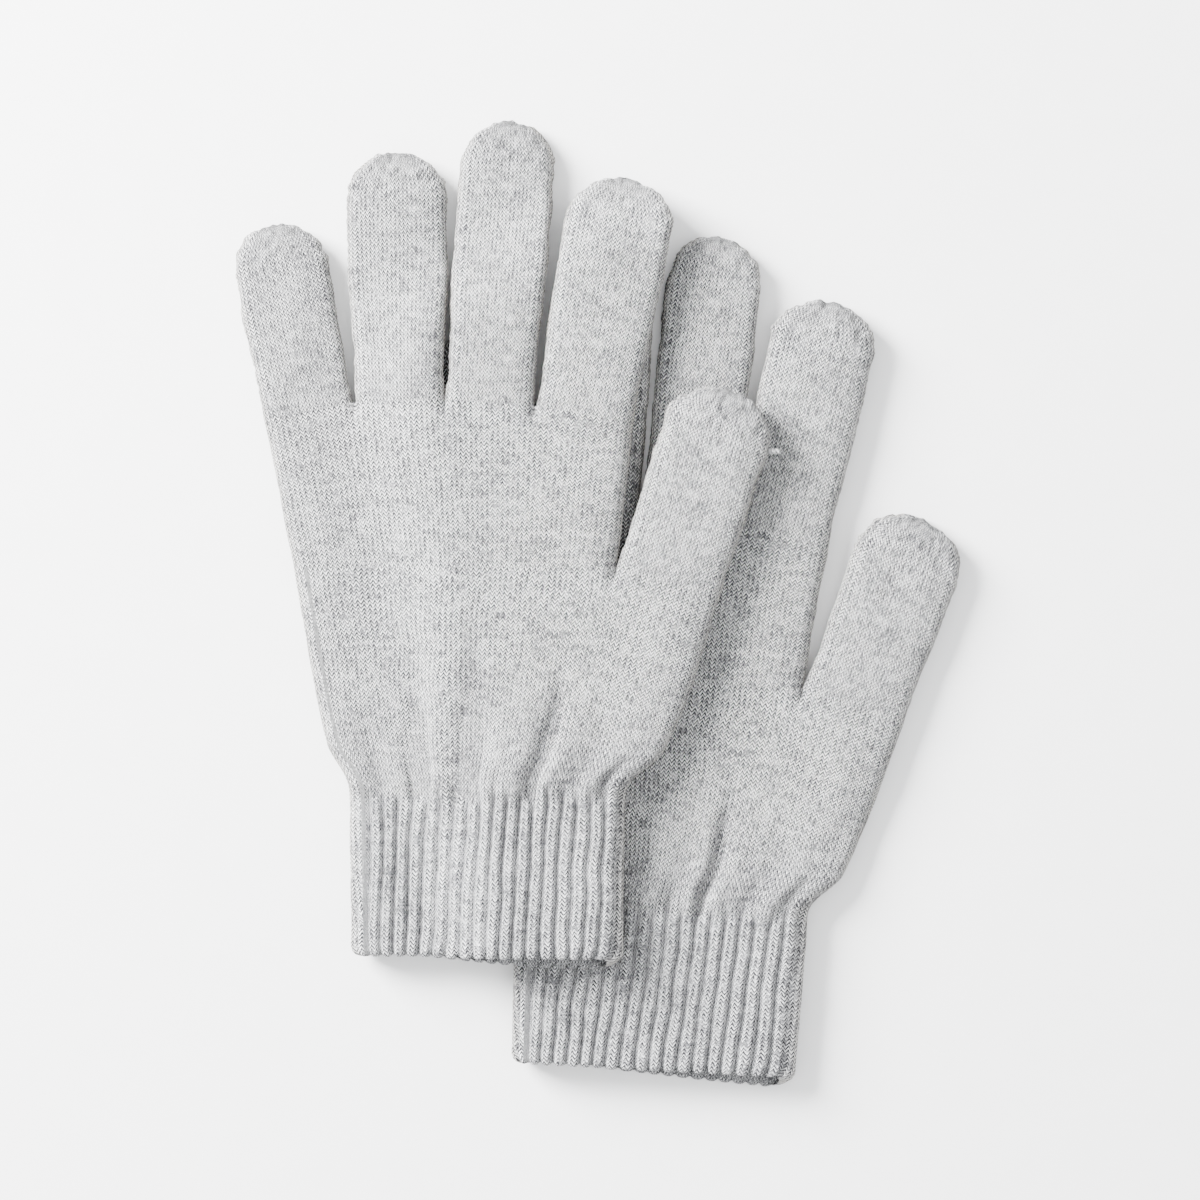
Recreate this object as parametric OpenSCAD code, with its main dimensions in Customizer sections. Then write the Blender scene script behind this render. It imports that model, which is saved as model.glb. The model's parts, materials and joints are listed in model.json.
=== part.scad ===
// A pair of seamless machine-knitted gloves, lying flat. The upper glove lies across the lower one.
// Each glove is built as it is knitted: ribbed cuff, palm, four-finger panel, then a tube for each digit.

/* [Pair] */
// Where the lower glove's wrist lies from the upper one's, right and up the glove
lower_shift = [43.4, -29.8]; // [-60:0.1:60]
// Turn of the lower glove about its wrist, clockwise is negative
lower_turn = -3; // [-15:0.5:15]
// Clear height between the two gloves
rest_gap = 0.6; // [0.4:0.1:2]
// Length over which the upper glove comes down past the lower one's edge
drape_run = 24; // [18:1:40]

/* [Cuff] */
// Width of the ribbed cuff as it lies, upper glove then lower glove
cuff_w = [70.6, 74.6]; // [50:0.1:100]
// Length of the cuff from its front edge to the palm
cuff_l = 41.5; // [20:0.5:120]
// Height of the cuff as it lies
cuff_h = 8.8; // [8.6:0.1:14]
// Thickness of the ribbed fabric
cuff_wall = 1.5; // [1.2:0.1:2]
// Number of ribs across one face
rib_count = 20; // [10:1:24]
// Depth of the groove between two ribs
rib_depth = 0.45; // [0.2:0.05:0.6]
// How much wider the cuff is at the palm than at its edge
cuff_flare = 1.6; // [0:0.1:8]
// Length of the bound-off edge at the wrist opening
hem_l = 3.4; // [2:0.1:8]
// How far the back layer's edge hangs past the front layer's
hem_drop = 3.2; // [0:0.1:6]
// Number of elastic yarns inside the cuff
elastic_count = 4; // [1:1:6]
// Diameter of one elastic yarn
elastic_d = 0.45; // [0.3:0.05:0.6]
// Clearance between an elastic yarn and the ribbed fabric
elastic_gap = 0.2; // [0.15:0.05:0.4]

/* [Hand] */
// Thickness of the plain knitted fabric
wall = 1.2; // [0.8:0.1:1.6]
// Height of the hand and the fingers as they lie
hand_h = 7.2; // [6.4:0.1:10]
// Extra height at the middle of a face
crown = 0.5; // [0:0.1:1.5]
// Length of the palm from the cuff to the thumb fork
palm_l = 60; // [40:0.5:90]
// Width of the hand at the thumb fork
palm_w = 84.2; // [60:0.2:120]
// Length of the four-finger panel, from the thumb fork to the middle finger fork
panel_l = 43.5; // [20:0.5:70]
// Sideways place of the thumb fork from the cuff's middle
thumb_fork_x = 33.7; // [20:0.1:50]
// Sideways place of the middle finger fork from the cuff's middle
middle_fork_x = -10.8; // [-30:0.1:20]

/* [Fingers] */
// Finger lengths: little, ring, middle, index
finger_l = [50.3, 65.5, 74.5, 63]; // [30:0.5:110]
// Finger widths at the fork: little, ring, middle, index
finger_w = [24, 24, 23.5, 26]; // [16:0.5:36]
// Finger widths near the tip: little, ring, middle, index
finger_tip_w = [25.4, 27, 25.4, 28.2]; // [16:0.2:38]
// Lean of each finger, to the right is positive: little, ring, middle, index
finger_lean = [-11, -1, 3.9, 10]; // [-20:0.5:20]

/* [Thumb] */
// Thumb length
thumb_l = 53; // [35:0.5:90]
// Thumb width at its fork
thumb_w = 28; // [18:0.5:40]
// Thumb width near the tip
thumb_tip_w = 29; // [18:0.5:42]
// Angle of the slit between the thumb and the finger panel's side
thumb_spread = 11.06; // [6:0.02:26]

/* [Tips and joints] */
// Length of the rounded end of a finger
tip_round = 12; // [8:0.5:14]
// Height of a fingertip's end as a share of the hand's height
tip_flat = 0.5; // [0.4:0.05:0.8]
// How far a finger is drawn in on each side at its fork
fork_pinch = 0.8; // [0.7:0.05:1.2]
// Place of the middle joint along each finger: little, ring, middle, index
finger_bend = [0.52, 0.5, 0.5, 0.6]; // [0.4:0.01:0.65]
// Place of the middle joint along the thumb
thumb_bend = 0.5; // [0.4:0.01:0.6]
// Clearance across a joint
bend_gap = 0.4; // [0.3:0.05:0.8]
// Clearance between a fork stitch and the finger beside it
fork_gap = 0.3; // [0.2:0.05:0.4]
// Diameter of the loose yarn end at the upper thumb
yarn_d = 1.1; // [0.6:0.1:1.6]
// Length of the loose yarn end
yarn_l = 3.5; // [2:0.5:8]

/* [Hidden] */
GLOVES = ["upper", "lower"];
UPPER = 0;
LOWER = 1;
DIGITS = ["little", "ring", "middle", "index", "thumb"];
INDEX = 3;
THUMB = 4;
HAND_PARTS = ["cuff_hem", "ribbed_cuff", "elastic_yarns", "palm", "finger_panel", "fork_stitches"];
DIGIT_PARTS = ["base", "tip", "closing_stitches"];

digit_l = concat(finger_l, [thumb_l]);
digit_w = concat(finger_w, [thumb_w]);
digit_tip_w = concat(finger_tip_w, [thumb_tip_w]);
digit_bend = concat(finger_bend, [thumb_bend]);
knit_color = [0.82, 0.82, 0.83];
rib_color = [0.78, 0.79, 0.81];
trim_color = [0.88, 0.88, 0.88];
elastic_color = [0.93, 0.93, 0.90];

// Length over which a finger widens from its drawn-in fork
pinch_l = 10;
// Length over which the cuff's height falls to the hand's
heel_l = 16;
// Share of the palm's widening that comes at once above the cuff
heel_puff = 0.3;
// Angles round the side of a flattened tube, from its front face to its back face
side_angles = [60, 20, -20, -60];
// Angles round the rounded end of a finger, up to the closing stitches
end_angles = [0, 24, 46, 66];
closing_angles = [66, 80, 87];
// Most of a narrow section's half width that its rounded side may take
side_share = 0.85;
// Places of the rings along each section, as shares of its length
palm_steps = [0, 0.1, 0.22, 0.4, 0.6, 0.8, 1];
panel_steps = [0, 0.33, 0.67, 1];
base_steps = [0, 0.2, 0.45, 0.72, 1];
tip_steps = [0, 0.5];
hem_steps = [0, 0.5, 1];
// One ring of the cuff for each elastic yarn, and one at each end
cuff_steps = [for (i = [0 : elastic_count + 1]) i / (elastic_count + 1)];

function lerp(a, b, t) = a + (b - a) * t;
function clamp(t, low, high) = min(max(t, low), high);
function smooth(t) = let (c = clamp(t, 0, 1)) c * c * (3 - 2 * c);
function flip(list) = [for (i = [len(list) - 1 : -1 : 0]) list[i]];
function flatten(lists) = [for (l = lists) each l];
function turn(p, a) = [p.x * cos(a) - p.y * sin(a), p.x * sin(a) + p.y * cos(a)];
function along(lean) = [sin(lean), cos(lean)];
function across(lean) = [cos(lean), -sin(lean)];

// ---- Plan of one glove, from the middle of its cuff's front edge, fingers towards +Y ----

thumb_fork = [thumb_fork_x, cuff_l + palm_l];
middle_fork = [middle_fork_x, cuff_l + palm_l + panel_l];
// The five points between and beside the four fingers, from the little finger's outer side
forks = let (
        two = middle_fork,
        one = two - finger_w[1] * across(finger_lean[1]),
        zero = one - finger_w[0] * across(finger_lean[0]),
        three = two + finger_w[2] * across(finger_lean[2]),
        four = three + finger_w[3] * across(finger_lean[3])
    ) [zero, one, two, three, four];
panel_side = forks[4] - thumb_fork;
panel_lean = atan2(panel_side.x, panel_side.y);
thumb_lean = panel_lean + thumb_spread;
digit_lean = concat(finger_lean, [thumb_lean]);
palm_left = thumb_fork - [palm_w, 0];
thumb_outer = thumb_fork + thumb_w * across(thumb_lean);
digit_from = concat([for (i = [0:3]) (forks[i] + forks[i + 1]) / 2], [(thumb_fork + thumb_outer) / 2]);

function cuff_edge(g, side, y) = [side * (cuff_w[g] / 2 + cuff_flare / 2 * clamp(y / cuff_l, 0, 1)), y];
function hand_height(y) = lerp(cuff_h, hand_h, smooth((y - cuff_l) / heel_l));
function hand_wall(y) = lerp(cuff_wall, wall, smooth((y - cuff_l) / heel_l));
function puff(v) = heel_puff * (1 - pow(1 - v, 6)) + (1 - heel_puff) * v;

// A point at share f along a bent line whose corners lie at the shares in marks
function bent(points, marks, f) = let (
        i = max([for (k = [0 : len(marks) - 2]) f >= marks[k] ? k : 0])
    ) lerp(points[i], points[i + 1], (f - marks[i]) / (marks[i + 1] - marks[i]));

// ---- Placing the two gloves, with the pair's middle at the origin ----

function shifted(g, p) = g == UPPER ? p : turn(p, lower_turn) + lower_shift;
function lower_plan(p) = turn(p - lower_shift, -lower_turn);

function box_distance(p, corners) = max([for (i = [0 : len(corners) - 1]) let (
        a = corners[i],
        b = corners[(i + 1) % len(corners)],
        e = (b - a) / norm(b - a)
    ) (p.x - a.x) * e.y - (p.y - a.y) * e.x]);
function digit_distance(p, d) = let (
        axis = along(digit_lean[d]),
        reach = digit_l[d] - digit_tip_w[d] / 2,
        s = clamp((p - digit_from[d]) * axis, 0, reach)
    ) norm(p - digit_from[d] - s * axis) - digit_tip_w[d] / 2;
cuff_corners = [cuff_edge(LOWER, -1, 0), cuff_edge(LOWER, 1, 0),
    cuff_edge(LOWER, 1, cuff_l), cuff_edge(LOWER, -1, cuff_l)];
palm_corners = [cuff_corners[3], cuff_corners[2], thumb_outer, thumb_fork, palm_left];
panel_corners = [palm_left, thumb_fork, forks[4], forks[3], forks[2], forks[1], forks[0]];
// Distance from a point to the lower glove's outline, 0 or less inside it
function lower_distance(p) = min(concat(
    [for (c = [cuff_corners, palm_corners, panel_corners]) box_distance(p, c)],
    [for (d = [0:4]) digit_distance(p, d)]));

// Height by which the upper glove is raised over the lower one at a point of the plan
drape_margin = 2;
function lift(g, p) = g == LOWER ? 0 : let (
        q = lower_plan(p),
        top = hand_height(q.y) + crown + rest_gap
    ) top * (1 - smooth((lower_distance(q) - drape_margin) / drape_run));

function digit_width(d, s) = let (
        w = lerp(digit_w[d], digit_tip_w[d], smooth(s / (0.6 * digit_l[d])))
    ) w - 2 * fork_pinch * (1 - clamp(s / pinch_l, 0, 1));
function digit_point(d, s, side) = digit_from[d] + s * along(digit_lean[d])
    + side * digit_width(d, s) / 2 * across(digit_lean[d]);
function end_point(d, a, side) = digit_from[d] + (digit_l[d] - tip_round * (1 - sin(a))) * along(digit_lean[d])
    + side * digit_tip_w[d] / 2 * cos(a) * across(digit_lean[d]);
hem_low = [for (g = [UPPER, LOWER], side = [-1, 1]) shifted(g, cuff_edge(g, side, 0) - [0, side > 0 ? hem_drop : 0])];
rim_points = concat(
    hem_low,
    [for (g = [UPPER, LOWER], p = [palm_left, thumb_outer, forks[0], forks[4]]) shifted(g, p)],
    [for (g = [UPPER, LOWER], d = [0:4], a = [0:3:87], side = [-1, 1]) shifted(g, end_point(d, a, side))]);
pair_middle = [for (k = [0, 1]) (min([for (p = rim_points) p[k]]) + max([for (p = rim_points) p[k]])) / 2];

function place(g, p, z) = let (
        q = shifted(g, p)
    ) [q.x - pair_middle.x, q.y - pair_middle.y, z + lift(g, q)];

// ---- Rings of points round a flattened tube ----

// Shares across a face to sample: steps[i] of them in the span after marks[i]
function face_shares(marks, steps, edge) = concat(
    [for (i = [0 : len(marks) - 2], j = [0 : steps[i] - 1])
        lerp(clamp(marks[i], edge, 1 - edge), clamp(marks[i + 1], edge, 1 - edge), j / steps[i])],
    [1 - edge]);

// One ring: plan(f, z) gives the plan point at share f across, z runs from 1 on the front to -1 on the back.
// t is the depth below the outer surface, relief the depth of the groove at every second point of a face.
function ring(g, plan, w, h, z0, marks, steps, t = 0, relief = 0) = let (
        half = h / 2 - t,
        r = min(half, (w / 2 - t) * side_share),
        shares = face_shares(marks, steps, (t + r) / w),
        back = flip(shares),
        point = function (f, z, drop)
            place(g, plan(f, z), z0 + h / 2 + (half - drop) * z + crown * 4 * f * (1 - f) * max(z, 0)),
        side = function (a) (t + r * (1 - cos(a))) / w
    ) concat(
        [for (j = [0 : len(shares) - 1]) point(shares[j], 1, relief * (j % 2))],
        [for (a = side_angles) point(1 - side(a), sin(a), 0)],
        [for (j = [0 : len(back) - 1]) point(back[j], -1, relief * (j % 2))],
        [for (a = flip(side_angles)) point(side(a), sin(a), 0)]);

// Closed solid between an outer and an inner stack of rings
module shell(outer, inner) {
    n = len(outer[0]);
    m = len(outer);
    skin = function (i, k) i * n + k % n;
    lining = function (i, k) m * n + i * n + k % n;
    walls = [for (i = [0 : m - 2], k = [0 : n - 1]) each [
        [skin(i, k), skin(i + 1, k), skin(i + 1, k + 1)],
        [skin(i, k), skin(i + 1, k + 1), skin(i, k + 1)],
        [lining(i, k), lining(i + 1, k + 1), lining(i + 1, k)],
        [lining(i, k), lining(i, k + 1), lining(i + 1, k + 1)]]];
    rims = [for (k = [0 : n - 1]) each [
        [skin(0, k), skin(0, k + 1), lining(0, k + 1)],
        [skin(0, k), lining(0, k + 1), lining(0, k)],
        [skin(m - 1, k), lining(m - 1, k), lining(m - 1, k + 1)],
        [skin(m - 1, k), lining(m - 1, k + 1), skin(m - 1, k + 1)]]];
    polyhedron(concat(flatten(outer), flatten(inner)), concat(walls, rims));
}

// Closed solid filled from its first ring to its last
module solid(rings) {
    n = len(rings[0]);
    m = len(rings);
    middle = function (r) [for (k = [0:2]) let (c = [for (p = r) p[k]]) (min(c) + max(c)) / 2];
    at = function (i, k) i * n + k % n;
    walls = [for (i = [0 : m - 2], k = [0 : n - 1]) each [
        [at(i, k), at(i + 1, k), at(i + 1, k + 1)],
        [at(i, k), at(i + 1, k + 1), at(i, k + 1)]]];
    caps = [for (k = [0 : n - 1]) each [
        [m * n, at(0, k), at(0, k + 1)],
        [m * n + 1, at(m - 1, k + 1), at(m - 1, k)]]];
    polyhedron(concat(flatten(rings), [middle(rings[0]), middle(rings[m - 1])]), concat(walls, caps));
}

// Closed solid of a yarn that runs round the hand: rings joined in a cycle
module loop(rings) {
    n = len(rings[0]);
    m = len(rings);
    at = function (i, k) (i % m) * n + k % n;
    polyhedron(flatten(rings), [for (i = [0 : m - 1], k = [0 : n - 1]) each [
        [at(i, k), at(i + 1, k), at(i + 1, k + 1)],
        [at(i, k), at(i + 1, k + 1), at(i, k + 1)]]]);
}

// ---- Cuff ----

// The opening's edge: the back layer hangs lower towards the thumb's side
function mouth_y(f, z) = -hem_drop * smooth(f) * (1 - z) / 2;
function cuff_point(g, f, y) = lerp(cuff_edge(g, -1, y), cuff_edge(g, 1, y), f);
// A ring round the cuff, at share v of the way up from the bound-off edge, moved up by rise
function cuff_ring(g, v, t, steps, relief = 0, rise = 0) = ring(g,
    function (f, z) cuff_point(g, f, lerp(mouth_y(f, z) + hem_l, cuff_l, v) + rise),
    cuff_w[g] + cuff_flare * v, cuff_h, 0, [0, 1], [steps], t, relief);

module ribbed_cuff(g) {
    color(rib_color)
        shell([for (v = cuff_steps) cuff_ring(g, v, 0, 2 * rib_count, rib_depth)],
            [for (v = cuff_steps) cuff_ring(g, v, cuff_wall, 2 * rib_count)]);
}

// The bound-off edge: the same fabric turned at the opening, thicker than the ribs above it
hem_wall = cuff_wall + 0.3;
hem_round = 0.4;
function hem_ring(g, s, t, relief = 0) = ring(g,
    function (f, z) cuff_point(g, f, mouth_y(f, z) + hem_l * s),
    cuff_w[g], cuff_h, 0, [0, 1], [2 * rib_count], t, relief);

module cuff_hem(g) {
    color(rib_color)
        shell([for (s = hem_steps) hem_ring(g, s, s == 0 ? hem_round : 0, s == 1 ? rib_depth : 0)],
            [for (s = hem_steps) hem_ring(g, s, s == 0 ? hem_wall - hem_round : hem_wall)]);
}

module elastic_yarns(g) {
    r = elastic_d / 2;
    depth = cuff_wall + elastic_gap + r;
    color(elastic_color)
        for (i = [1 : elastic_count])
            loop([for (c = [[-r, 0], [0, r], [r, 0], [0, -r]])
                cuff_ring(g, cuff_steps[i], depth + c.x, rib_count, 0, c.y)]);
}

// ---- Hand ----

palm_marks = [0, palm_w / (palm_w + thumb_w), 1];
function palm_point(g, f, v) = let (
        low = lerp(cuff_edge(g, -1, cuff_l), cuff_edge(g, 1, cuff_l), f),
        high = bent([palm_left, thumb_fork, thumb_outer], palm_marks, f),
        wide = puff(v)
    ) [lerp(low.x, high.x, wide), lerp(low.y, high.y, v)];
function palm_ring(g, v, t) = let (
        w = palm_point(g, 1, v).x - palm_point(g, 0, v).x,
        y = lerp(cuff_l, thumb_fork.y, v)
    ) ring(g, function (f, z) palm_point(g, f, v), w, hand_height(y), 0, palm_marks, [7, 3], t * hand_wall(y));

module palm(g) {
    color(knit_color)
        shell([for (v = palm_steps) palm_ring(g, v, 0)], [for (v = palm_steps) palm_ring(g, v, 1)]);
}

panel_w = norm(forks[4] - forks[0]);
panel_marks = let (total = finger_w[0] + finger_w[1] + finger_w[2] + finger_w[3])
    [0, finger_w[0] / total, (finger_w[0] + finger_w[1]) / total, 1 - finger_w[3] / total, 1];
function panel_point(f, v) = lerp(lerp(palm_left, thumb_fork, f), bent(forks, panel_marks, f), v);
function panel_ring(g, v, t) = ring(g, function (f, z) panel_point(f, v),
    lerp(palm_w, panel_w, v), hand_h, 0, panel_marks, [2, 2, 2, 2], t);

module finger_panel(g) {
    color(knit_color)
        shell([for (v = panel_steps) panel_ring(g, v, 0)], [for (v = panel_steps) panel_ring(g, v, wall)]);
}

// ---- Digits ----

// Joints: every digit of the upper glove, and those of the lower one that lie clear of it
function knuckle_moves(g, d) = g == UPPER || d == THUMB;
function middle_moves(g, d) = g == UPPER || d >= INDEX;
function base_start(g, d) = knuckle_moves(g, d) ? bend_gap : 0;
function tip_start(g, d) = digit_bend[d] * digit_l[d] + (middle_moves(g, d) ? bend_gap : 0);

function digit_ring(g, d, s, t) = ring(g,
    function (f, z) lerp(digit_point(d, s, -1), digit_point(d, s, 1), f),
    digit_width(d, s), hand_h, 0, [0, 1], [4], t);
function end_ring(g, d, a, t) = let (
        h = hand_h * lerp(tip_flat, 1, cos(a)),
        w = digit_tip_w[d] * cos(a),
        back = t * sin(a) * along(digit_lean[d]),
        inset = min(t, w / 2 - 0.3, h / 2 - 0.3)
    ) ring(g, function (f, z) lerp(end_point(d, a, -1), end_point(d, a, 1), f) - back,
        w, h, (hand_h - h) / 3, [0, 1], [4], inset);

module digit_base(g, d) {
    span = [base_start(g, d), digit_bend[d] * digit_l[d]];
    stops = [for (v = base_steps) lerp(span[0], span[1], v)];
    color(knit_color)
        shell([for (s = stops) digit_ring(g, d, s, 0)], [for (s = stops) digit_ring(g, d, s, wall)]);
}

module digit_tip(g, d) {
    span = [tip_start(g, d), digit_l[d] - tip_round];
    stops = [for (v = tip_steps) lerp(span[0], span[1], v)];
    last = end_angles[len(end_angles) - 1];
    color(knit_color)
        shell(concat([for (s = stops) digit_ring(g, d, s, 0)], [for (a = end_angles) end_ring(g, d, a, 0)]),
            concat([for (s = stops) digit_ring(g, d, s, wall)],
                [for (a = end_angles) end_ring(g, d, a, a == last ? wall * 0.6 : wall)]));
}

// The last loops of the finger, drawn together into its closed end
module closing_stitches(g, d) {
    color(trim_color)
        solid([for (a = closing_angles) end_ring(g, d, a, 0)]);
}

// ---- Forks ----

fork_l = 5;
// One web of overlapped stitches in the slit between two digits that part at this point
module fork_web(g, at, lean, spread, start, pinch_share) {
    open = function (s) fork_pinch * pinch_share * (1 - s / pinch_l) + s * tan(spread / 2) - fork_gap;
    corner = function (s, side, z) place(g, at + s * along(lean) + side * open(s) * across(lean), z);
    ends = [start, start + fork_l];
    color(trim_color)
        solid([for (s = ends) [
            corner(s, -1, hand_h * 0.75), corner(s, 1, hand_h * 0.75),
            corner(s, 1, hand_h * 0.25), corner(s, -1, hand_h * 0.25)]]);
}

module fork_stitches(g) {
    for (i = [0:2])
        fork_web(g, forks[i + 1], (digit_lean[i] + digit_lean[i + 1]) / 2,
            digit_lean[i + 1] - digit_lean[i], 0, 1);
    fork_web(g, thumb_fork + fork_pinch / 2 * across(thumb_lean), (panel_lean + thumb_lean) / 2,
        thumb_spread, 2, 0.5);
}

// Loose yarn end, knotted off at the side of the upper thumb's tip
module thumb_yarn_end() {
    from = end_point(THUMB, 0, 1) + 0.1 * across(thumb_lean);
    color(trim_color)
        translate(place(UPPER, from, hand_h / 2))
            rotate([0, 90, -thumb_lean])
                union() {
                    cylinder(h = yarn_l, d = yarn_d, $fn = 24);
                    translate([0, 0, yarn_l])
                        sphere(d = yarn_d, $fn = 24);
                }
}

for (g = [UPPER, LOWER]) {
    name = GLOVES[g];
    cuff_hem(g);
    ribbed_cuff(g);
    elastic_yarns(g);
    palm(g);
    finger_panel(g);
    fork_stitches(g);
    for (d = [0:4]) {
        digit = str(name, "_", DIGITS[d]);
        digit_base(g, d);
        digit_tip(g, d);
        closing_stitches(g, d);
    }
}
thumb_yarn_end();  // upper_thumb_yarn_end
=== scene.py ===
"""Looks for the pair of knitted gloves: a dense knitted skin for every CAD tube, in the CAD's own frame.

Each glove is one smooth flattened tube after another. The shape follows the same named sizes as the CAD,
in millimetres, and is moved to the CAD's place by the position of a joint in the frame.
"""
import json

import bpy
import numpy as np
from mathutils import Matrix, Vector

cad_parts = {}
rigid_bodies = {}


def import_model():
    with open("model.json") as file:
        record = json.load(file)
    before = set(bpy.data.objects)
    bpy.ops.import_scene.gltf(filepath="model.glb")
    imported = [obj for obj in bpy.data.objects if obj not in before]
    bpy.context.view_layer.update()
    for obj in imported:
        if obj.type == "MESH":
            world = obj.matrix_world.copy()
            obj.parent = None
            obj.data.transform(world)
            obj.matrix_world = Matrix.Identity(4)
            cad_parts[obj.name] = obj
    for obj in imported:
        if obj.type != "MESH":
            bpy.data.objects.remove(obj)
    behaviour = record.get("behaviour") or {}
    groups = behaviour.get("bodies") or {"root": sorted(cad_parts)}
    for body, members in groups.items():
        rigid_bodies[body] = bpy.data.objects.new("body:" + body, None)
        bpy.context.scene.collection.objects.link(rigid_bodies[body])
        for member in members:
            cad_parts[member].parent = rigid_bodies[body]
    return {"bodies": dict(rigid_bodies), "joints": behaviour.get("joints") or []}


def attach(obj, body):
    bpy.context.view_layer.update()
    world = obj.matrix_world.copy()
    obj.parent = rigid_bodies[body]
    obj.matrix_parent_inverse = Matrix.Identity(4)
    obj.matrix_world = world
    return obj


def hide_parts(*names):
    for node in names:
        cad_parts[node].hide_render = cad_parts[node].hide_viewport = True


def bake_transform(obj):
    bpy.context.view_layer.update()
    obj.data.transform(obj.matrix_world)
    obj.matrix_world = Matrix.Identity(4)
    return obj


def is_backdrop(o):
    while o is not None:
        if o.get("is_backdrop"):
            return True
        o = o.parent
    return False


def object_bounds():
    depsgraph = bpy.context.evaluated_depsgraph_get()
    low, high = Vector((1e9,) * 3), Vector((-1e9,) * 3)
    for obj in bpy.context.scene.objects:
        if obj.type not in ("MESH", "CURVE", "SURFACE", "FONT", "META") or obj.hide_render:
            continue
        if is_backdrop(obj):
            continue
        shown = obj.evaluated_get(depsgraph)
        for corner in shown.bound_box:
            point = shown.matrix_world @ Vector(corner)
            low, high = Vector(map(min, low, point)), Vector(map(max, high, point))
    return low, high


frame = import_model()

cad_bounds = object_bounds()
MM = 0.001
UPPER, LOWER = 0, 1
GLOVES = ("upper", "lower")
DIGITS = ("little", "ring", "middle", "index", "thumb")
THUMB = 4

# ---- Sizes, the CAD's own, in millimetres and degrees ----
LOWER_SHIFT, LOWER_TURN = np.array([43.4, -29.8]), -3
REST_GAP, DRAPE_RUN, DRAPE_MARGIN, CROWN = 0.6, 24, 2, 0.5
CUFF_W, CUFF_L, CUFF_H, CUFF_WALL, CUFF_FLARE = (70.6, 74.6), 41.5, 8.8, 1.5, 1.6
RIB_COUNT, HEM_L, HEM_DROP = 20, 3.4, 3.2
ELASTIC_COUNT, ELASTIC_D, ELASTIC_GAP = 4, 0.45, 0.2
WALL, HAND_H, PALM_L, PALM_W, PANEL_L = 1.2, 7.2, 60, 84.2, 43.5
THUMB_FORK_X, MIDDLE_FORK_X = 33.7, -10.8
DIGIT_L = (50.3, 65.5, 74.5, 63, 53)
DIGIT_W = (24, 24, 23.5, 26, 28)
DIGIT_TIP_W = (25.4, 27, 25.4, 28.2, 29)
LEAN = (-11, -1, 3.9, 10, 18)
BEND = (0.52, 0.5, 0.5, 0.6, 0.5)
TIP_ROUND, TIP_FLAT, HEEL_L, HEEL_PUFF = 12, 0.5, 16, 0.3
SIDE_SHARE = 0.85
CLOSING_ANGLE, CLOSED_ANGLE = 66, 88

# ---- Sizes of the knitting that only the looks have ----
WALE, COURSE = 1.34, 1.04
CUFF_WALES, SIDE_WALES = 80, 8
HALF_COURSE, SIDE_POINTS = COURSE / 2, 11
RIB_DEPTH, RIB_FADE, RIB_DRIFT = 1.15, 6.5, (0.6, 0.95)
EDGE_ZONE, EDGE_SINK = 9, 0.24
FOLD_SHADE = 0.45
CORNER_IN, CORNER_L, SCALLOP = (1.2, 2.6), 4.5, 1.0
BEND_ZONE = 11
FORK_R, FORK_FADE = 3.6, 6
PLEATS, PLEAT_DEPTH = 7, 0.35
TIP_STEP, CLOSING_STEP, LINING_STEP = 2.6, 2.2, 16
ABOVE_FLOOR = 0.02
FLOOR_HALF = 3
VIEW_W, LENS, SENSOR, MIDDLE_HEIGHT = 0.3125, 135, 36, 0.009


# ---- Small maths ----
def smooth(t):
    c = np.clip(t, 0, 1)
    return c * c * (3 - 2 * c)


def lerp(a, b, t):
    return a + (b - a) * t


def along(lean):
    return np.array([np.sin(np.radians(lean)), np.cos(np.radians(lean))])


def across(lean):
    return np.array([np.cos(np.radians(lean)), -np.sin(np.radians(lean))])


def turned(p, angle):
    c, s = np.cos(np.radians(angle)), np.sin(np.radians(angle))
    return np.stack([p[..., 0] * c - p[..., 1] * s, p[..., 0] * s + p[..., 1] * c], -1)


_grids = {}


def noise(x, y, seed):
    """Smooth noise from -1 to 1 over the plane, one random value a unit, the same every run."""
    if seed not in _grids:
        _grids[seed] = np.random.default_rng(seed).uniform(-1, 1, (256, 256))
    grid = _grids[seed]
    x, y = np.asarray(x, float), np.asarray(y, float)
    i, j = np.floor(x).astype(int), np.floor(y).astype(int)
    u, v = smooth(x - i), smooth(y - j)
    low = lerp(grid[i % 256, j % 256], grid[(i + 1) % 256, j % 256], u)
    high = lerp(grid[i % 256, (j + 1) % 256], grid[(i + 1) % 256, (j + 1) % 256], u)
    return lerp(low, high, v)


# ---- Plan of one glove ----
THUMB_FORK = np.array([THUMB_FORK_X, CUFF_L + PALM_L])
FORKS = [None, None, np.array([MIDDLE_FORK_X, CUFF_L + PALM_L + PANEL_L]), None, None]
FORKS[1] = FORKS[2] - DIGIT_W[1] * across(LEAN[1])
FORKS[0] = FORKS[1] - DIGIT_W[0] * across(LEAN[0])
FORKS[3] = FORKS[2] + DIGIT_W[2] * across(LEAN[2])
FORKS[4] = FORKS[3] + DIGIT_W[3] * across(LEAN[3])
PALM_LEFT = THUMB_FORK - [PALM_W, 0]
THUMB_OUTER = THUMB_FORK + DIGIT_W[THUMB] * across(LEAN[THUMB])
DIGIT_FROM = [(FORKS[i] + FORKS[i + 1]) / 2 for i in range(4)] + [(THUMB_FORK + THUMB_OUTER) / 2]
# Each fork: its place, the lean of the slit above it
SLITS = [(FORKS[i + 1], (LEAN[i] + LEAN[i + 1]) / 2) for i in range(3)] + [(THUMB_FORK, 11)]


def cuff_edge(glove, side, y):
    return np.array([side * (CUFF_W[glove] / 2 + CUFF_FLARE / 2 * np.clip(y / CUFF_L, 0, 1)), y])


def hand_height(y):
    return lerp(CUFF_H, HAND_H, smooth((y - CUFF_L) / HEEL_L))


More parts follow.
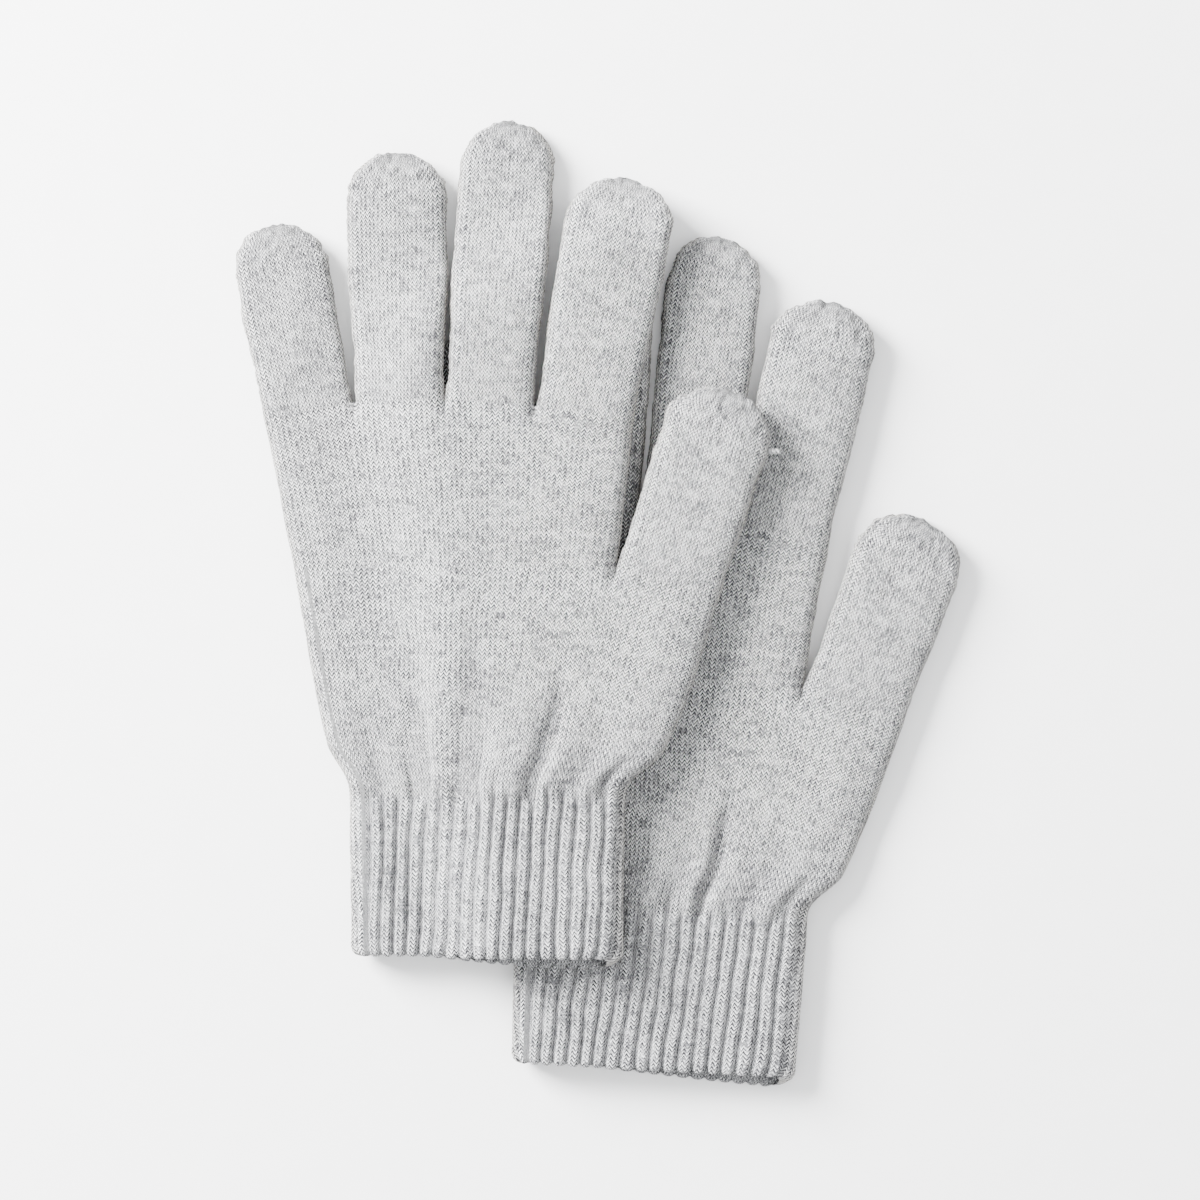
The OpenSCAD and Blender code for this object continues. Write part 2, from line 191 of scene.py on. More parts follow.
def bent(points, marks, f):
    """Points at shares f along a bent line with corners at the shares in marks."""
    xs = np.interp(f, marks, [p[0] for p in points])
    ys = np.interp(f, marks, [p[1] for p in points])
    return np.stack([xs, ys], -1)


def shifted(glove, p):
    return p if glove == UPPER else turned(p, LOWER_TURN) + LOWER_SHIFT


joint_at = {j["name"]: np.array(j["pos_m"]) / MM for j in frame["joints"] if "pos_m" in j}
# The pair's middle in plan, from where the frame holds the upper thumb's knuckle
MIDDLE = DIGIT_FROM[THUMB] - joint_at["upper_thumb_knuckle"][:2]


# ---- How far the upper glove is raised by the lower one ----
def box_distance(p, corners):
    sides = []
    for a, b in zip(corners, corners[1:] + corners[:1]):
        e = (b - a) / np.linalg.norm(b - a)
        sides.append((p[..., 0] - a[0]) * e[1] - (p[..., 1] - a[1]) * e[0])
    return np.max(sides, axis=0)


def digit_distance(p, d):
    axis, reach = along(LEAN[d]), DIGIT_L[d] - DIGIT_TIP_W[d] / 2
    q = p - DIGIT_FROM[d]
    s = np.clip(q @ axis, 0, reach)
    return np.linalg.norm(q - s[..., None] * axis, axis=-1) - DIGIT_TIP_W[d] / 2


cuff_corners = [cuff_edge(LOWER, side, y) for side, y in ((-1, 0), (1, 0), (1, CUFF_L), (-1, CUFF_L))]
palm_corners = [cuff_corners[3], cuff_corners[2], THUMB_OUTER, THUMB_FORK, PALM_LEFT]
panel_corners = [PALM_LEFT, THUMB_FORK] + FORKS[::-1]


def lift(glove, p):
    if glove == LOWER:
        return np.zeros(p.shape[:-1])
    q = turned(p - LOWER_SHIFT, -LOWER_TURN)
    parts = [box_distance(q, c) for c in (cuff_corners, palm_corners, panel_corners)]
    parts += [digit_distance(q, d) for d in range(5)]
    top = hand_height(q[..., 1]) + CROWN + REST_GAP
    return top * (1 - smooth((np.min(parts, axis=0) - DRAPE_MARGIN) / DRAPE_RUN))


def fork_close(p):
    """1 on open cloth, 0 at a fork, where the front and back layers are drawn together."""
    keep = np.ones(p.shape[:-1])
    for at, lean in SLITS:
        q = p - at
        side, below = np.abs(q @ across(lean)), np.maximum(-(q @ along(lean)), 0)
        bow = np.sqrt(1 - (1 - np.clip(side / FORK_R, 0, 1)) ** 2)
        keep = np.minimum(keep, 1 - (1 - bow) * (1 - smooth(below / FORK_FADE)))
    return keep


# ---- One ring round a flattened tube ----
def ring_stations(w, h, t, faces, sides):
    """Shares across and depths, 1 front to -1 back, of the points round a ring that lies t under the skin."""
    half = h / 2 - t
    r = min(half, (w / 2 - t) * SIDE_SHARE)
    edge = (t + r) / w
    shares = np.linspace(edge, 1 - edge, faces + 1)
    angles = np.linspace(np.pi / 2, -np.pi / 2, sides + 2)[1:-1]
    side = (t + r * (1 - np.cos(angles))) / w
    f = np.concatenate([shares, 1 - side, shares[::-1], side[::-1]])
    z = np.concatenate([np.ones(faces + 1), np.sin(angles), -np.ones(faces + 1), np.sin(angles)[::-1]])
    return f, z


class Tube:
    """A stack of rings in one glove's own plan, with what the relief and the material need at each point."""

    def __init__(self, glove, wales):
        self.glove, self.wales, self.faces = glove, wales, 2 * wales
        self.rows = {"skin": [], "lining": []}

    def ring(self, layer, plan, w, h, z0, t, course, pull=True):
        f, z = ring_stations(w, h, t, self.faces, SIDE_POINTS)
        p = plan(f, z)
        keep = fork_close(p) if pull else 1
        # The faces fall gently towards the sides
        zone = min(EDGE_ZONE, 0.4 * w)
        sink = EDGE_SINK * smooth(1 - np.minimum(f, 1 - f) * w / zone) * min(1, w / 12)
        half = np.maximum(h / 2 * keep * (1 - sink) - t, 0.06)
        height = z0 + h / 2 + half * z
        self.rows[layer].append({
            "p": np.concatenate([p, height[:, None]], 1), "f": f, "z": z,
            "v": np.broadcast_to(course, f.shape), "w": np.full(f.shape, w)})

    def grid(self, layer, key):
        return np.array([row[key] for row in self.rows[layer]])

    def wale_at(self):
        """Wales from the left edge round the ring: once across the front, once back, and round each side."""
        n = 2 * (self.faces + 1 + SIDE_POINTS)
        side = SIDE_WALES
        front = np.linspace(0, self.wales, self.faces + 1)
        turn = side * np.arange(1, SIDE_POINTS + 1) / (SIDE_POINTS + 1)
        u = np.concatenate([front, self.wales + turn, self.wales + side + front, 2 * self.wales + side + turn,
                            [2 * (self.wales + side)]])
        return u[:n + 1]


def placed(glove, p):
    """From a glove's own plan to the frame, in millimetres, laid over what is below it."""
    q = shifted(glove, p[..., :2])
    z = p[..., 2] + lift(glove, q)
    return np.concatenate([q - MIDDLE, z[..., None]], -1)


def normals(p, up_way=None):
    """Outward unit normals of a grid of points, rings along the second axis."""
    round_way = np.roll(p, -1, 1) - np.roll(p, 1, 1)
    if up_way is None:
        up_way = np.gradient(p, axis=0)
    n = np.cross(round_way, up_way)
    return n / np.maximum(np.linalg.norm(n, axis=-1, keepdims=True), 1e-9)


# ---- Relief of the cloth ----
# Gathers above the cuff: share across, height (a valley is negative), half width as a share, length
GATHERS = (
    ((0.06, 0.50, 0.040, 26), (0.12, -1.10, 0.032, 26), (0.185, 0.60, 0.028, 24), (0.236, -1.70, 0.020, 22),
     (0.276, -2.30, 0.032, 56), (0.330, 1.90, 0.040, 70), (0.428, -3.40, 0.038, 54), (0.500, 0.90, 0.028, 32),
     (0.575, 1.40, 0.046, 46), (0.656, -3.00, 0.022, 42), (0.715, 1.10, 0.034, 36), (0.80, -1.00, 0.034, 26),
     (0.86, 0.60, 0.028, 20), (0.915, -1.90, 0.020, 15)),
    ((0.10, -0.60, 0.030, 20), (0.30, -0.70, 0.045, 26), (0.43, 0.60, 0.045, 28), (0.52, -1.30, 0.034, 32),
     (0.588, 1.30, 0.030, 46), (0.628, -2.90, 0.020, 42), (0.685, 1.00, 0.032, 34), (0.78, -1.10, 0.036, 28),
     (0.86, 0.80, 0.030, 24), (0.91, -1.20, 0.022, 20)))


def gathers(glove, f, z, y):
    rise = smooth((y - CUFF_L + 3) / 6)
    total = np.zeros(f.shape)
    for at, high, half_w, length in GATHERS[glove]:
        fade = 1 - smooth((y - CUFF_L) / length)
        wander = 0.008 * noise(y / 14 + 40 * at, glove * 9.0, 11)
        total += high * np.exp(-((f - at - wander) / half_w) ** 2) * fade
    front = np.clip(z, 0, 1)
    back = 0.35 * np.clip(-z, 0, 1) * noise(10 * f, y / 16, 14 + glove) * (1 - smooth((y - CUFF_L) / 34))
    return (total * front + back) * rise


def rib_phase(glove, f, y):
    """Ribs from the left edge; they lean and wander a little, and a groove is at the middle of each count."""
    down = np.clip(1 - y / CUFF_L, 0, 1)
    return f * RIB_COUNT + RIB_DRIFT[glove] * down * np.sin(np.pi * np.clip(f, 0, 1)) ** 0.5 \
        + 0.11 * noise(f * 9, y / 8 + 30 * glove, 12) + 0.10 * noise(f * 3 + 8, y / 19 + 9 * glove, 21)


def rib_groove(glove, f, y):
    """Depth from 0 on a rib to 1 in the groove between two ribs."""
    phase = rib_phase(glove, f, y)
    crest = np.abs(2 * (phase - np.floor(phase)) - 1)
    even = 0.9 + 0.16 * noise(np.floor(phase) * 1.7, y / 13 + 11 * glove, 15)
    even = even * (1 if glove == LOWER else lerp(0.6, 1, smooth((f - 0.07) / 0.1)))
    return (0.78 * np.exp(-(crest / 0.34) ** 2) + 0.22 * (1 - crest) ** 2) * even


def rib_strength(glove, f, y):
    ends = CUFF_L + 1.2 + 2.6 * noise(np.floor(f * RIB_COUNT + 0.5) * 1.3, 5.0 + glove, 13)
    return 1 - smooth((y - ends + RIB_FADE / 2) / RIB_FADE)


def lumps(glove, p, z):
    """Unevenness of relaxed cloth: slow swells, small dents, and rows that sit a little high or low."""
    x, y = p[..., 0] + 300 * glove, p[..., 1] + 500 * (z < 0)
    slow = 0.42 * noise(x / 17, y / 23, 1) + 0.24 * noise((x + 0.4 * y) / 8, (y - 0.4 * x) / 12, 4)
    dents = 0.13 * noise(x / 4.6, y / 5.5, 2) + 0.08 * noise(x / 2.3, y / 1.9, 3)
    back = np.where(z < 0, 0.6, 1.0)
    return (slow + dents) * back


def stitch_knobs(u, v):
    """The relief of the stitches that the mesh itself can hold: each wale is a low ridge of rounded loops."""
    return -0.06 * np.cos(2 * np.pi * u) + 0.07 * np.cos(2 * np.pi * v) * (0.6 + 0.4 * noise(u / 3, v / 2, 7))


# ---- Meshes ----
def mesh_piece(name, points, faces, uv, attributes, material, sharp=()):
    """A smooth-shaded object from points in millimetres, with its stitch coordinates as its UV map."""
    mesh = bpy.data.meshes.new(name)
    mesh.from_pydata((points * MM).tolist(), [], faces)
    loops = np.empty(len(mesh.loops), dtype=np.int32)
    mesh.loops.foreach_get("vertex_index", loops)
    layer = mesh.uv_layers.new(name="UVMap")
    if uv.shape[0] == len(loops):
        layer.data.foreach_set("uv", uv.astype(np.float32).ravel())
    else:
        layer.data.foreach_set("uv", uv[loops].astype(np.float32).ravel())
    for key, values in attributes.items():
        made = mesh.attributes.new(key, "FLOAT", "POINT")
        made.data.foreach_set("value", np.asarray(values, np.float32).ravel())
    mesh.polygons.foreach_set("use_smooth", [True] * len(mesh.polygons))
    if sharp:
        edges = np.empty(len(mesh.edges) * 2, dtype=np.int32)
        mesh.edges.foreach_get("vertices", edges)
        edges = edges.reshape(-1, 2)
        flags = np.zeros(len(edges), bool)
        for low, high in sharp:
            flags |= ((edges >= low) & (edges < high)).all(1)
        marks = mesh.attributes.new("sharp_edge", "BOOLEAN", "EDGE")
        marks.data.foreach_set("value", flags)
    mesh.materials.append(material)
    piece = bpy.data.objects.new(name, mesh)
    bpy.context.collection.objects.link(piece)
    return piece


def shell_piece(name, tube, relief, material, axis=None, wale_of=None):
    """Closed shell: the displaced skin, a lining under it, and a rim at each end."""
    flat = tube.grid("skin", "p")
    skin = placed(tube.glove, flat)
    f, z, v = (tube.grid("skin", k) for k in "fzv")
    u = tube.wale_at()
    height, groove = relief(f, z, flat)
    height = height + stitch_knobs(u[:-1], v)
    up_way = None
    if axis is not None:
        step = np.array([*axis, 0]) * 0.3
        up_way = placed(tube.glove, flat + step) - placed(tube.glove, flat - step)
    skin = skin + normals(skin, up_way) * height[..., None]
    skin[..., 2] = np.maximum(skin[..., 2], ABOVE_FLOOR)
    lining = placed(tube.glove, tube.grid("lining", "p"))
    rows, n = skin.shape[:2]
    back_rows = lining.shape[0]
    points = np.concatenate([skin.reshape(-1, 3), lining.reshape(-1, 3)])
    start = rows * n
    faces, uv = [], []
    lining_v = tube.grid("lining", "v")
    us = np.repeat(u[None], rows, 0)
    if wale_of is not None:
        us[:, :-1] = wale_of(f, z, flat)
        us[:, -1] = us[:, 0] + 2 * (tube.wales + SIDE_WALES)

    def quad(corners, corner_uv, outward=True):
        faces.append(corners if outward else corners[::-1])
        uv.extend(corner_uv if outward else corner_uv[::-1])

    lining_u = np.repeat(u[None], back_rows, 0)
    for offset, count, ul, vs, out in ((0, rows, us, v, True), (start, back_rows, lining_u, lining_v, False)):
        ul, vs = ul.tolist(), vs.tolist()
        for i in range(count - 1):
            for k in range(n):
                k1 = (k + 1) % n
                a, b = offset + i * n + k, offset + i * n + k1
                low = (ul[i][k], vs[i][k]), (ul[i][k + 1], vs[i][k1])
                high = (ul[i + 1][k + 1], vs[i + 1][k1]), (ul[i + 1][k], vs[i + 1][k])
                quad((a, b, b + n, a + n), low + high, out)
    ends = ((0, start, True), ((rows - 1) * n, start + (back_rows - 1) * n, False))
    for skin_at, lining_at, first in ends:
        edge_v = v[0 if first else -1]
        for k in range(n):
            k1 = (k + 1) % n
            inner = (u[k], edge_v[k] - 1), (u[k + 1], edge_v[k1] - 1)
            outer = (u[k + 1], edge_v[k1]), (u[k], edge_v[k])
            quad((lining_at + k, lining_at + k1, skin_at + k1, skin_at + k), inner + outer, first)
    # Masks for the material: side is 1 on the rounded side walls, where a warm painted shade goes; open_work
    # is a band of wales about 4 mm in from the edges, whose stitch holes get more painted shade
    side = np.concatenate([(1 - np.abs(z)).ravel(), np.zeros(back_rows * n)])
    open_work = np.exp(-((np.minimum(f, 1 - f) * tube.grid("skin", "w") - 4.2) / 1.6) ** 2)
    attributes = {
        "side": side,
        # groove carries painted shade: the rib grooves and fold valleys, and 0.4 on the whole lining for
        # painted shade inside the glove
        "groove": np.concatenate([groove.ravel(), np.full(back_rows * n, 0.4)]),
        "open_work": np.concatenate([open_work.ravel(), np.zeros(back_rows * n)])}
    sharp = [(0, n), ((rows - 1) * n, rows * n), (start, start + n), (len(points) - n, len(points))]
    return mesh_piece(name, points, faces, np.array(uv), attributes, material, sharp)


def stops(start, end, step):
    return np.linspace(start, end, max(2, int(round((end - start) / step)) + 1))


def courses(length, first):
    """Half courses along a length: each one's share of it and its number."""
    count = int(round(length / HALF_COURSE))
    return [(i / count, first + i / 2) for i in range(count + 1)]


# ---- Materials ----
class Graph:
    """Short way to write a material's nodes."""

    def __init__(self, name):
        self.material = bpy.data.materials.new(name)
        self.material.use_nodes = True
        self.tree = self.material.node_tree
        self.shader = self.tree.nodes["Principled BSDF"]

    def put(self, kind, out=0, settings=(), **inputs):
        made = self.tree.nodes.new("ShaderNode" + kind)
        for key, value in dict(settings).items():
            setattr(made, key, value)
        for key, value in inputs.items():
            socket = made.inputs[int(key[1:])] if key[0] == "i" and key[1:].isdigit() else made.inputs[key]
            self.feed(socket, value)
        return made.outputs[out]

    def feed(self, socket, value):
        if isinstance(value, bpy.types.NodeSocket):
            self.tree.links.new(value, socket)
        else:
            socket.default_value = value

    def math(self, operation, a, b=0.0, c=0.0, clamp=False):
        return self.put("Math", settings={"operation": operation, "use_clamp": clamp}, i0=a, i1=b, i2=c)

    def vector(self, x, y, z=0.0):
        return self.put("CombineXYZ", X=x, Y=y, Z=z)

    def scaled(self, place, factors):
        return self.put("VectorMath", settings={"operation": "MULTIPLY"}, i0=place, i1=factors)

    def white(self, place):
        return self.put("TexWhiteNoise", settings={"noise_dimensions": "3D"}, Vector=place)

    def noise(self, place, scale, detail=2.0, rough=0.5):
        return self.put("TexNoise", settings={"noise_dimensions": "3D"}, Vector=place, Scale=scale,
                        Detail=detail, Roughness=rough)

    def attribute(self, name):
        return self.put("Attribute", out=2, settings={"attribute_name": name})

    def smooth(self, value, low, high, to_low=0.0, to_high=1.0):
        node = self.tree.nodes.new("ShaderNodeMapRange")
        node.interpolation_type = "SMOOTHSTEP"
        items = {"Value": value, "From Min": low, "From Max": high, "To Min": to_low, "To Max": to_high}
        for key, item in items.items():
            self.feed(node.inputs[key], item)
        return node.outputs["Result"]

    def ramp(self, value, colors):
        node = self.tree.nodes.new("ShaderNodeValToRGB")
        self.feed(node.inputs["Fac"], value)
        while len(node.color_ramp.elements) < len(colors):
            node.color_ramp.elements.new(0.5)
        for element, (at, color) in zip(node.color_ramp.elements, colors):
            element.position = at
            element.color = (*color, 1)
        return node.outputs["Color"]

    def mix(self, blend, amount, a, b):
        node = self.tree.nodes.new("ShaderNodeMix")
        node.data_type, node.blend_type = "RGBA", blend
        self.feed(node.inputs["Factor"], amount)
        colors = [s for s in node.inputs if s.type == "RGBA"]
        self.feed(colors[0], a)
        self.feed(colors[1], b)
        return next(s for s in node.outputs if s.type == "RGBA")


def knit_material(name, slant, wale_gap_shade, leg_gap_shade, wale_size, cool):
    """Melange knitting in stitch coordinates: u counts wales round the tube, v counts courses along it."""
    g = Graph(name)
    uv = g.put("UVMap")
    warp = g.put("VectorMath", settings={"operation": "MULTIPLY_ADD"}, i0=g.put(
        "TexNoise", out=1, Vector=uv, Scale=0.3, Detail=2.0, Roughness=0.6), i1=(0.6, 0.46, 0), i2=uv)
    split = g.put("SeparateXYZ", Vector=warp)
    u, v = split, split.node.outputs["Y"]
    wale = g.math("FRACT", u)
    out = g.math("ABSOLUTE", g.math("MULTIPLY_ADD", wale, 2.0, -1.0))
    row = g.math("MULTIPLY_ADD", out, -slant, v)
    # A stitch is two slanted legs: rounded across its yarn, pinched at the wale's middle and edges
    yarn = g.math("MULTIPLY", g.math("PINGPONG", row, 0.5), 2.0)
    between = g.math("MULTIPLY", g.smooth(yarn, 0.7, 0.18), g.smooth(out, 0.0, 0.35, 0.55, 1.0))
    border = g.math("MULTIPLY", g.smooth(out, 0.2, 0.8), g.smooth(yarn, 0.92, 0.22, 0.0, 1.0))
    gap = g.math("MAXIMUM", g.math("MULTIPLY", border, 0.8), g.math("MULTIPLY", between, 0.6))
    stitch = g.math("SUBTRACT", 1.0, gap)
    side_of = g.math("GREATER_THAN", wale, 0.5)
    cell = g.vector(g.math("MULTIPLY_ADD", side_of, 0.4, g.math("FLOOR", u)), g.math("FLOOR", row))
    chance = g.white(cell)
    # Some holes between two wales are wide open and others are closed
    hole_cell = g.vector(g.math("FLOOR", g.math("ADD", u, 0.5)), g.math("FLOOR", row), 7.0)
    open_hole = g.smooth(g.white(hole_cell), 0.2, 0.95, 0.1, 1.0)
    # Melange: light and dark fibres run along the course, so tones are long across and short along
    streak = g.noise(g.scaled(warp, (0.2 * wale_size, 0.42, 1)), 1.0, 3.0, 0.6)
    fibre = g.noise(g.scaled(warp, (1.5 * wale_size, 2.0, 1)), 1.35, 4.0, 0.72)
    blotch = g.noise(uv, 0.085, 2.0)
    tone = g.math("MULTIPLY_ADD", chance, 0.38, g.math("MULTIPLY", fibre, 1.35))
    tone = g.math("MULTIPLY_ADD", streak, 0.50, tone)
    tone = g.math("MULTIPLY_ADD", blotch, 0.30, g.math("SUBTRACT", tone, 0.765))
    color = g.ramp(tone, ((0.27, (0.18, 0.18, 0.19)), (0.38, (0.46, 0.46, 0.47)), (0.46, (0.72, 0.72, 0.725)),
                          (0.53, (0.90, 0.90, 0.905)), (0.63, (1.0, 1.0, 0.995))))
    # How loose the knit is: looser patches, and the open_work band near the edges, get more painted shade in
    # their stitch holes
    loose = g.smooth(g.noise(uv, 0.5, 3.0, 0.65), 0.36, 0.64, 0.5, 1.2)
    loose = g.math("MAXIMUM", loose, g.math("MULTIPLY", g.attribute("open_work"), 0.95))
    # Painted shade in the gaps between stitches: the holes between wales and between the legs of each stitch
    # are painted towards near black
    wale_hole_shade = g.math("MULTIPLY", g.math("MULTIPLY", border, open_hole), wale_gap_shade)
    leg_hole_shade = g.math("MULTIPLY", between, g.smooth(chance, 0.15, 0.95, 0.15, 1.0))
    hole_shade = g.math("MAXIMUM", wale_hole_shade, g.math("MULTIPLY", leg_hole_shade, leg_gap_shade))
    dark = g.math("MULTIPLY", hole_shade, loose, clamp=True)
    color = g.mix("MIX", dark, color, (0.03, 0.03, 0.035, 1))
    # Painted shade: the groove attribute darkens the colour in the rib grooves, the fold valleys above the
    # cuff, the pleats of the closed ends and on the lining
    groove_shade = g.math("MULTIPLY", g.attribute("groove"), 0.75, clamp=True)
    color = g.mix("MULTIPLY", groove_shade, color, (0.50, 0.50, 0.52, 1))
    # Painted shade on the rounded side walls: the colour takes a warm, darker tint where the side attribute
    # is 1
    side_wall_shade = g.math("MULTIPLY", g.attribute("side"), 1.0, clamp=True)
    color = g.mix("MULTIPLY", side_wall_shade, color, (0.84, 0.80, 0.73, 1))
    color = g.mix("MULTIPLY", 1.0, color, cool)
    g.feed(g.shader.inputs["Base Color"], color)
    g.shader.inputs["Roughness"].default_value = 0.93
    g.shader.inputs["Specular IOR Level"].default_value = 0.2
    g.shader.inputs["Sheen Weight"].default_value = 0.22
    g.shader.inputs["Sheen Roughness"].default_value = 0.45
    relief = g.math("MULTIPLY_ADD", fibre, 0.55, stitch)
    bump = g.put("Bump", Strength=1.0, Distance=0.0012, Height=relief)
    g.feed(g.shader.inputs["Normal"], bump)
    return g.material


def yarn_material(name, light, dark, twist):
    """A single yarn: plies that twist round it, and melange flecks."""
    g = Graph(name)
    uv = g.put("UVMap")
    split = g.put("SeparateXYZ", Vector=uv)
    turns = g.math("MULTIPLY_ADD", split.node.outputs["Y"], twist, g.math("MULTIPLY", split, 12.566))
    ply = g.math("SINE", turns)
    fleck = g.noise(uv, 3.0, 3.0, 0.7)
    color = g.ramp(fleck, ((0.35, dark), (0.6, light)))
    # Painted shade in the grooves between the plies: the colour is darker where the ply relief is low
    color = g.mix("MULTIPLY", g.smooth(ply, -1.0, 0.0, 0.55, 0.0), color, (0.55, 0.55, 0.56, 1))
    g.feed(g.shader.inputs["Base Color"], color)
    g.shader.inputs["Roughness"].default_value = 0.9
    g.shader.inputs["Sheen Weight"].default_value = 0.25
    g.feed(g.shader.inputs["Normal"], g.put("Bump", Strength=0.7, Distance=0.0002, Height=ply))
    return g.material


def floor_material():
    g = Graph("pale_floor")
    grain = g.noise(g.put("TexCoord", out=3), 90.0, 3.0)
    color = g.ramp(grain, ((0.3, (0.93, 0.93, 0.93)), (0.7, (0.95, 0.95, 0.95))))
    g.feed(g.shader.inputs["Base Color"], color)
    g.shader.inputs["Roughness"].default_value = 0.8
    return g.material


PLAIN = knit_material(
    "plain_melange_knit", slant=1.0, wale_gap_shade=4.2, leg_gap_shade=3.3, wale_size=1, cool=(1, 1, 1, 1))
RIBBED = knit_material(
    "ribbed_melange_knit", slant=1.0, wale_gap_shade=3.0, leg_gap_shade=2.4, wale_size=0.66, cool=(0.985, 0.99, 1, 1))
TRIM = yarn_material("melange_yarn", (0.52, 0.52, 0.52), (0.2, 0.2, 0.21), 5.0)
ELASTIC = yarn_material("covered_elastic", (0.86, 0.86, 0.84), (0.66, 0.66, 0.64), 14.0)


# ---- Cuff ----
def mouth_y(f, z):
    return -HEM_DROP * smooth(f) * (1 - z) / 2


def corner(f, s):
    """How far a side of the cuff is drawn in, s millimetres from its opening, to round its corners."""
    ramp = 1 - np.sqrt(1 - (1 - np.clip(s / CORNER_L, 0, 1)) ** 2)
    return lerp(CORNER_IN[0], -CORNER_IN[1], f) * ramp * np.abs(2 * f - 1) ** 3


def cuff_plan(glove, v=None, s=None):
    """Plan of a ring of the cuff: at share v above the bound-off edge, or s millimetres from the opening."""
    def plan(f, z):
        low = mouth_y(f, z)
        y = lerp(low + HEM_L, CUFF_L, v) if s is None else low + s
        half = CUFF_W[glove] / 2 + CUFF_FLARE / 2 * np.clip(y / CUFF_L, 0, 1)
        x = (2 * f - 1) * half + corner(f, y - low) * (1.4 - 0.4 * z)
        if s is not None:
            y = y + SCALLOP * rib_groove(glove, f, y) * (1 - s / HEM_L) * np.abs(z) ** 0.5
        return np.stack([x, y], -1)
    return plan


def cuff_relief(glove):
    def relief(f, z, p):
        strength = rib_strength(glove, f, p[..., 1])
        groove = rib_groove(glove, f, p[..., 1]) * strength * smooth(np.abs(z) * 3)
        above = p[..., 1] - mouth_y(f, z)
        swell = 0.30 * np.exp(-((above - 2.2) / 1.6) ** 2)
        folds = gathers(glove, f, z, p[..., 1])
        height = swell * (1 - groove) - RIB_DEPTH * groove + 0.6 * lumps(glove, p, z) + folds
        # The second value is a mask of painted shade for the material: the rib grooves and the fold valleys
        # are painted darker
        return height, groove + FOLD_SHADE * np.clip(-folds, 0, 2.5)
    return relief


def rib_wales(glove):
    """Wales round the cuff and the palm: two on each rib, and two drawn close in each groove."""
    def wale_of(f, z, p):
        phase = rib_phase(glove, f, p[..., 1])
        pull = 2 * rib_strength(glove, f, p[..., 1])
        u = 4 * phase - pull * np.sin(2 * np.pi * phase) / (2 * np.pi)
        face, n = CUFF_WALES * 2 + 1, f.shape[1] // 2
        turn = SIDE_WALES * np.arange(1, SIDE_POINTS + 1) / (SIDE_POINTS + 1)
        side = np.zeros(2 * n)
        side[face:n] = side[n + face:] = turn
        # The sides are counted from the last wale of the face before them
        u[:, face:n] = u[:, face - 1:face]
        back = 2 * CUFF_WALES + SIDE_WALES - u[:, n:]
        back[:, face:] = back[:, face - 1:face]
        return np.concatenate([u[:, :n], back], 1) + side
    return wale_of


def make_cuff(glove):
    name = GLOVES[glove]
    body = name + "_hand"
    tube = Tube(glove, CUFF_WALES)
    length = CUFF_L - HEM_L
    for v, course in courses(length, 0):
        plan, w = cuff_plan(glove, v=v), CUFF_W[glove] + CUFF_FLARE * v
        tube.ring("skin", plan, w, CUFF_H, 0, 0, course, pull=False)
    for v in stops(0, 1, 0.12):
        plan, w = cuff_plan(glove, v=v), CUFF_W[glove] + CUFF_FLARE * v
        tube.ring("lining", plan, w, CUFF_H, 0, CUFF_WALL, v * length / COURSE, pull=False)
    cuff = shell_piece(name + "_ribbed_cuff_knit", tube, cuff_relief(glove), RIBBED, (0, 1), rib_wales(glove))
    own(cuff, body, "ribbed_knit", name + "_ribbed_cuff")

    tube = Tube(glove, CUFF_WALES)
    turn_in = 0.9
    for s in stops(0, 1, 0.1):
        t = turn_in * (1 - np.sqrt(1 - (1 - min(s * HEM_L / 1.5, 1)) ** 2))
        plan, course = cuff_plan(glove, s=s * HEM_L), (s - 1) * HEM_L / COURSE
        tube.ring("skin", plan, CUFF_W[glove], CUFF_H, 0, t, course, pull=False)
    for s in stops(0, 1, 0.25):
        t = CUFF_WALL + 0.3 - (turn_in - 0.2) * (s == 0)
        plan, course = cuff_plan(glove, s=s * HEM_L), (s - 1) * HEM_L / COURSE
        tube.ring("lining", plan, CUFF_W[glove], CUFF_H, 0, t, course, pull=False)
    hem = shell_piece(name + "_cuff_hem_knit", tube, cuff_relief(glove), RIBBED, (0, 1), rib_wales(glove))
    own(hem, body, "ribbed_knit", name + "_cuff_hem")


def own(piece, body, slot, *nodes):
    """Attaches a piece to its body and hides the CAD nodes that it stands for; the slot, its finish, is not
    used.
    """
    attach(piece, body)
    if nodes:
        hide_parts(*nodes)


# ---- Palm and finger panel ----
PALM_MARKS = (0, PALM_W / (PALM_W + DIGIT_W[THUMB]), 1)


def palm_plan(glove, v):
    wide = (HEEL_PUFF * (1 - (1 - v) ** 6) + (1 - HEEL_PUFF) * v) * smooth((v + 0.01) / 0.24)

    def plan(f, z):
        low = lerp(cuff_edge(glove, -1, CUFF_L), cuff_edge(glove, 1, CUFF_L), f[:, None])
        high = bent((PALM_LEFT, THUMB_FORK, THUMB_OUTER), PALM_MARKS, f)
        return np.stack([lerp(low[:, 0], high[:, 0], wide), lerp(low[:, 1], high[:, 1], v)], -1)
    return plan


def palm_width(glove, v):
    ends = palm_plan(glove, v)(np.array([0.0, 1.0]), None)
    return ends[1, 0] - ends[0, 0]


